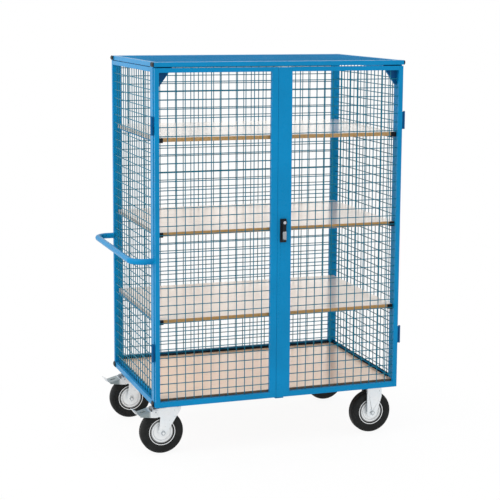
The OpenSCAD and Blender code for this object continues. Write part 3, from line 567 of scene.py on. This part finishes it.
def hinge_welds():
    """Upright beads along the back edges of the hinge leaves, on the posts' outer faces."""
    bm = bmesh.new()
    low, high = box_of("hinge_post_leaves")
    leaf, hinge, gap = 39.8 * MM, 79.8 * MM, 3 * MM
    post_low, post_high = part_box("front_left_post")[0][0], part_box("front_right_post")[1][0]
    upper_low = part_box("left_door_knuckles")[1][2] - hinge
    for x in (post_low, post_high):
        for z in (low.z, upper_low):
            lay_bead(bm, [(x, high.y, z + gap), (x, high.y, z + leaf - gap)], SMALL_BEAD)
    return bm


def door_welds(mesh_name, frame_name):
    """Beads in the inner corners of a door's frame."""
    bm = bmesh.new()
    low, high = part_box(mesh_name)
    front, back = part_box(frame_name)[0][1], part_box(frame_name)[1][1]
    gap = 2 * MM
    for x in (low[0], high[0]):
        for z in (low[2], high[2]):
            lay_bead(bm, [(x, front + gap, z), (x, back - gap, z)], BEAD)
    return bm


for name, bm in (("cage_weld_beads", cage_welds()), ("bearer_weld_beads", bearer_welds()),
                 ("base_weld_beads", base_welds()), ("handle_weld_beads", handle_welds()),
                 ("hinge_weld_beads", hinge_welds())):
    piece(name, bm, PAINT, "cage")
for door in ("left_door", "right_door"):
    piece(door + "_weld_beads", door_welds(door + "_mesh", door + "_rails"), PAINT, door)


# Spot welds of the mesh

MESH_PITCH = 40 * MM
NUGGET_FLAT, NUGGET_WIDE = 1.5 * MM, 2.6 * MM


def spot_welds(name):
    """A pressed nugget at each crossing of a mesh panel's wires."""
    bm = bmesh.new()
    low, high = box_of(name)
    size = high - low
    thin = min(range(3), key=lambda k: size[k])
    runs = [k for k in range(3) if k != thin]
    counts = [max(2, round(size[k] / MESH_PITCH)) for k in runs]
    arms = [Vector() for _ in range(3)]
    for k in range(3):
        arms[k][k] = NUGGET_FLAT if k == thin else NUGGET_WIDE
    for i in range(1, counts[0]):
        for j in range(1, counts[1]):
            spot = (low + high) / 2
            spot[runs[0]] = low[runs[0]] + i * size[runs[0]] / counts[0]
            spot[runs[1]] = low[runs[1]] + j * size[runs[1]] / counts[1]
            tips = [[bm.verts.new(spot + arm * sign) for sign in (1, -1)] for arm in arms]
            for a in (0, 1):
                for b in (0, 1):
                    for c in (0, 1):
                        bm.faces.new((tips[0][a], tips[1][b], tips[2][c]))
    return bm


for name in WIRE:
    piece(name + "_spot_welds", spot_welds(name), WIRE_SHADED_PAINT, nodes[name]["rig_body"])
piece("roof_mesh_spot_welds", spot_welds("roof_mesh"), ROOF_SHADED_PAINT, "cage")


# Gusset lips

def gusset_lips():
    """Folded lip along the slanting edge of each gusset plate."""
    bm = bmesh.new()
    low, high = box_of("gusset_plates")
    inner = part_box("front_left_post")[1][0]
    nose, width, deep, thick = 8 * MM, 68 * MM, 10 * MM, 2.5 * MM
    fold_steps = 4
    for start_x, into in ((inner, 1), (2 * middle("roof_front_rail").x - inner, -1)):
        foot = Vector((start_x + into * nose, high.y, low.z))
        head = Vector((start_x + into * width, high.y, high.z - nose))
        along = (head - foot).normalized()
        across = along.cross(Vector((0, 1, 0)))
        outline = []
        for turn in range(fold_steps + 1):
            angle = math.pi / 2 * turn / fold_steps
            back = Vector((0, thick * math.sin(angle), 0))
            outline.append(foot + across * thick * (0.5 - math.cos(angle)) + back)
        half, far = across * thick / 2, Vector((0, deep, 0))
        outline += [foot - half + far, foot + half + far, foot + half]
        sweep_strip(bm, outline, head - foot)
    return bm


piece("gusset_lips", gusset_lips(), PAINT, "cage")


# Castor trim: places and profiles of (radius, height), in millimetres

RACE_Z, FORK_OUT, NUT_H = 222.0, 34.0, 8.0
DUST_RING = [(38.2, 3.5), (43.0, 3.5), (44.4, 2.2), (44.4, -4.0), (42.9, -4.0), (42.9, 0.4), (38.2, 0.4)]
WASHER = [(6.6, 0.05), (14.5, 0.05), (14.5, 1.2), (13.6, 1.9), (6.6, 1.9)]
BOLT_END = [(0.01, -0.5), (5.6, -0.5)]
for turn in range(4):
    BOLT_END += [(5.6, 0.3 + turn), (5.1, 0.8 + turn)]
BOLT_END += [(4.4, 4.6), (0.01, 4.6)]
RING_STEPS, BOLT_STEPS = 56, 24


def axle_washers(wheel):
    """Washers under the axle's head and nut."""
    bm = bmesh.new()
    for side in (-1, 1):
        lathe(bm, middle(wheel) + Vector((0, side * FORK_OUT * MM, 0)), (0, side, 0), WASHER)
    return bm


def axle_end(wheel):
    """Threaded end of the axle bolt, in front of its nut."""
    bm = bmesh.new()
    lathe(bm, middle(wheel) - Vector((0, (FORK_OUT + NUT_H) * MM, 0)), (0, -1, 0), BOLT_END, BOLT_STEPS)
    return bm


for wheel, body in (("front_left_tyre", "front_swivel"), ("rear_left_tyre", "rear_swivel"),
                    ("front_right_tyre", "cage"), ("rear_right_tyre", "cage")):
    piece(wheel.replace("tyre", "axle_washers"), axle_washers(wheel), ZINC_STEEL, body)
    piece(wheel.replace("tyre", "axle_end"), axle_end(wheel), ZINC_STEEL, body)
for joint in frame["joints"]:
    if joint["name"].endswith("castor_swivel"):
        bm = bmesh.new()
        spot = Vector(joint["pos_m"])
        lathe(bm, (spot.x, spot.y, RACE_Z * MM), (0, 0, 1), DUST_RING, RING_STEPS)
        piece(joint["child"] + "_dust_ring", bm, ZINC_STEEL, "cage")


def bracket_flanges():
    """Sheet folded in along the left edge of the fixed castors' legs."""
    bm = bmesh.new()
    leg, leg_in, plate_t = 25 * MM, 27.0 * MM, 5 * MM
    over, under, lap, bevel = 1.6 * MM, 1.4 * MM, 0.4 * MM, 1.0 * MM
    foot_gap, head_gap = 4 * MM, 1 * MM
    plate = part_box("fixed_castor_brackets")[1][2] - plate_t
    for wheel in ("front_right_tyre", "rear_right_tyre"):
        axle = middle(wheel)
        back = axle.x - leg
        foot = Vector((0, 0, axle.z + foot_gap))
        for side in (-1, 1):
            outer = axle.y + side * FORK_OUT * MM
            inner = axle.y + side * leg_in
            outline = [(back + lap, outer, 0), (back - over, outer - side * over, 0), (back - over, inner, 0),
                       (back + under, inner, 0), (back + under, outer - side * bevel, 0)]
            sweep_strip(bm, [Vector(corner) + foot for corner in outline], (0, 0, plate - foot.z - head_gap))
    return bm


# The flanges are the brackets' own sheet, given the darker zinc as painted shade.
piece("fixed_bracket_flanges", bracket_flanges(), DULL_ZINC_AND_FLANGE_SHADE, "cage")


# Door and platform trim

PIN_DOME = [(0.01, 0.2), (4.6, 0.2), (4.6, 0.9), (3.9, 1.9), (2.5, 2.6), (0.01, 2.9)]
PIN_STEPS = 24
POST_GAP = 0.4 * MM


def hinge_caps():
    """Domed heads on the hinge pins."""
    bm = bmesh.new()
    hinge, lift = 80 * MM, 0.2 * MM
    for joint in frame["joints"]:
        if joint["name"].endswith("door_hinge"):
            spot = joint["pos_m"]
            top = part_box(joint["child"] + "_knuckles")[1][2]
            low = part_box("hinge_post_leaves")[0][2] + hinge
            for z in (low, top):
                lathe(bm, (spot[0], spot[1], z + lift), (0, 0, 1), PIN_DOME, PIN_STEPS)
    return bm


# The pin heads take the darker blue of painted shade, like the hinges.
piece("hinge_pin_heads", hinge_caps(), SHADED_PAINT, "cage")


def meeting_bead():
    """Soft-edged strip on the left door's meeting edge, which fills the gap between the doors."""
    bm = bmesh.new()
    low, high = box_of("left_door_stiles")
    thick, inset, round_off = 1.1 * MM, 0.6 * MM, 0.5 * MM
    front, back = low.y + inset, high.y - inset
    outline = [(high.x, front, low.z), (high.x + thick - round_off, front, low.z),
               (high.x + thick, front + round_off, low.z), (high.x + thick, back - round_off, low.z),
               (high.x + thick - round_off, back, low.z), (high.x, back, low.z)]
    sweep_strip(bm, outline, (0, 0, high.z - low.z))
    return bm


def side_run():
    """Where a strip between the front and rear posts starts, and its reach."""
    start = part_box("front_left_post")[1][1] + POST_GAP
    return start, (0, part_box("rear_left_post")[0][1] - POST_GAP - start, 0)


def edge_shadow_strip():
    """Quarter-round dark strip along the back and the side edges of the platform, standing for the shade
    lines there.
    """
    bm = bmesh.new()
    low, high = box_of("platform_board")
    reach, rise, rear_rise = 6 * MM, 4.6 * MM, 9 * MM
    steps = 4
    quarter = [(math.cos(t), math.sin(t)) for t in (math.pi / 2 * k / steps for k in range(steps + 1))]
    left_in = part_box("rear_left_post")[1][0] + POST_GAP
    right_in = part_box("rear_right_post")[0][0] - POST_GAP
    rear = [Vector((left_in, high.y - reach * c, high.z + rear_rise * s)) for c, s in quarter]
    sweep_strip(bm, [Vector((left_in, high.y, high.z))] + rear, (right_in - left_in, 0, 0))
    start, run = side_run()
    for x, into in ((low.x, 1), (high.x, -1)):
        side = [Vector((x + into * reach * c, start, high.z + rise * s)) for c, s in quarter]
        sweep_strip(bm, [Vector((x, start, high.z))] + side, run)
    return bm


def foot_bars(foot, head):
    """Flat bars with eased upper edges, between the platform's side edges and the side meshes."""
    bm = bmesh.new()
    low, high = box_of("platform_board")
    thick, ease, gap = 5 * MM, 1.2 * MM, 0.3 * MM
    start, run = side_run()
    for x, out in ((low.x, -1), (high.x, 1)):
        near, far = x + out * gap, x + out * thick
        outline = [(near, foot), (near, head - ease), (near + out * ease, head), (far - out * ease, head),
                   (far, head - ease), (far, foot)]
        sweep_strip(bm, [Vector((px, start, pz)) for px, pz in outline], run)
    return bm


def lever_grip():
    """Bright thumb plate on the lower half of the lock's lever, dished across."""
    bm = bmesh.new()
    low, high = box_of("lock_lever")
    half, tall, foot_gap = 8.5 * MM, 38 * MM, 3 * MM
    stand, dish, sink = 0.4, 1.4, 0.3 * MM
    half_steps = 6
    mid_x, front, foot = (low.x + high.x) / 2, low.y, low.z + foot_gap
    across = [(k / half_steps - 1.0) for k in range(2 * half_steps + 1)]
    outline = [Vector((mid_x + half * s, front - (stand + dish * s * s) * MM, foot)) for s in across]
    outline += [Vector((mid_x + side * half, front + sink, foot)) for side in (1, -1)]
    sweep_strip(bm, outline, (0, 0, tall))
    return bm


piece("meeting_bead", meeting_bead(), PAINT, "left_door")
piece("platform_edge_shadow_strip", edge_shadow_strip(), SHADOW_STRIP_BLACK, "cage")
BAR_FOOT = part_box("base_rails")[1][2]
BAR_HEAD = BAR_FOOT + 24 * MM
STRIP_HEAD = BAR_HEAD + 4 * MM
piece("side_foot_bars", foot_bars(BAR_FOOT, BAR_HEAD), PAINT, "cage")
# Dark strips on top of the foot bars, as painted shade.
piece("foot_bar_shadow_strips", foot_bars(BAR_HEAD, STRIP_HEAD), SHADOW_STRIP_BLACK, "cage")
piece("lock_thumb_plate", lever_grip(), GRIP_METAL, "lock_handle")


# Stage

def aim(place, target, roll=0.0):
    """Matrix of a lamp or camera at place that looks at target."""
    back = (Vector(place) - Vector(target)).normalized()
    right = Vector((0, 0, 1)).cross(back).normalized()
    up = back.cross(right)
    across = right * math.cos(roll) + up * math.sin(roll)
    above = up * math.cos(roll) - right * math.sin(roll)
    turn = Matrix((across, above, back)).transposed()
    return Matrix.Translation(place) @ turn.to_4x4()


def soft_box(name, place, target, size, level):
    """Area lamp; at level 1 a surface that faces it shows its colour as written."""
    lamp = bpy.data.lights.new(name, "AREA")
    lamp.shape = "RECTANGLE"
    lamp.size, lamp.size_y = size
    lamp.energy = level * (math.pi * (Vector(place) - Vector(target)).length) ** 2
    made = bpy.data.objects.new(name, lamp)
    made.matrix_world = aim(place, target)
    bpy.context.scene.collection.objects.link(made)


def seen_rays(tree):
    """1 for camera, glossy and transmission rays, and 0 for the rays that carry light to the object."""
    path = add(tree, "ShaderNodeLightPath").outputs
    shiny = calc(tree, "MAXIMUM", path["Is Glossy Ray"], path["Is Transmission Ray"])
    return calc(tree, "MAXIMUM", path["Is Camera Ray"], shiny)


def light_world(level):
    """World that lights the object at level, and looks white behind it and in reflections."""
    world = bpy.data.worlds.new("studio")
    world.use_nodes = True
    bpy.context.scene.world = world
    tree = world.node_tree
    back = tree.nodes["Background"]
    back.inputs["Color"].default_value = (1, 1, 1, 1)
    tree.links.new(between(tree, seen_rays(tree), 0.0, 1.0, level, 1.0), back.inputs["Strength"])


def lay_floor(half, near, far, glow_near):
    """White floor that shows its shadows near the object and runs out to plain white."""
    mesh = bpy.data.meshes.new("floor")
    corners = [(-half, -half, 0), (half, -half, 0), (half, half, 0), (-half, half, 0)]
    mesh.from_pydata(corners, [], [(0, 1, 2, 3)])
    floor = bpy.data.objects.new("floor", mesh)
    bpy.context.scene.collection.objects.link(floor)
    mat = bpy.data.materials.new("white_floor")
    mat.use_nodes = True
    tree = mat.node_tree
    tree.nodes.remove(tree.nodes["Principled BSDF"])
    tone = ramp(tree, noise(tree, here(tree), 8.0), (0.3, (0.9, 0.9, 0.9)), (0.7, (0.93, 0.93, 0.93)))
    white = add(tree, "ShaderNodeBsdfDiffuse", {"Color": tone}).outputs["BSDF"]
    glow = add(tree, "ShaderNodeEmission", {"Color": (1, 1, 1, 1), "Strength": 1.0}).outputs["Emission"]
    place = add(tree, "ShaderNodeTexCoord").outputs["Object"]
    reach = add(tree, "ShaderNodeVectorMath", {0: place}, operation="LENGTH").outputs["Value"]
    share = calc(tree, "MULTIPLY", between(tree, reach, near, far, glow_near, 1.0), seen_rays(tree))
    mix = add(tree, "ShaderNodeMixShader", {0: share, 1: white, 2: glow}).outputs["Shader"]
    tree.links.new(mix, tree.nodes["Material Output"].inputs["Surface"])
    mesh.materials.append(mat)


IMAGE = 500


def set_camera(target, distance, azimuth, elevation, roll, focal_px, centre_px):
    """Camera that looks at target; centre_px is where its axis meets the image."""
    flat = math.cos(elevation)
    back = Vector((math.sin(azimuth) * flat, -math.cos(azimuth) * flat, math.sin(elevation)))
    lens = bpy.data.cameras.new("photo_camera")
    lens.sensor_width = 36.0
    lens.lens = focal_px * lens.sensor_width / IMAGE
    lens.shift_x = 0.5 - centre_px[0] / IMAGE
    lens.shift_y = centre_px[1] / IMAGE - 0.5
    lens.clip_end = 60.0
    camera = bpy.data.objects.new("photo_camera", lens)
    camera.matrix_world = aim(Vector(target) + back * distance, target, roll)
    bpy.context.scene.collection.objects.link(camera)
    bpy.context.scene.camera = camera


CAGE = Vector((middle("roof_front_rail").x, middle("roof_mesh").y, 0.0))
LOOK_AT = CAGE + Vector((0, 0, 1.0493))
MIDDLE = CAGE + Vector((0, 0, 0.9))
# Name, place, size and level of each lamp
LAMPS = (("key", (-4.4, -1.2, 3.9), (2.6, 2.6), 0.40),
         ("top", (0.0, -0.6, 4.8), (2.4, 2.4), 0.08),
         ("back", (2.8, 4.6, 1.2), (3.0, 1.6), 0.020))

# The camera's values were fitted to the photo
set_camera(LOOK_AT, distance=6.6168, azimuth=math.radians(-19.169), elevation=math.radians(8.537),
           roll=math.radians(0.353), focal_px=1389.5, centre_px=(253.08, 209.89))
light_world(0.92)
for name, place, size, level in LAMPS:
    soft_box(name, place, MIDDLE, size, level)
lay_floor(half=40.0, near=0.6, far=1.4, glow_near=0.92)
bpy.context.scene.view_settings.view_transform = "Standard"
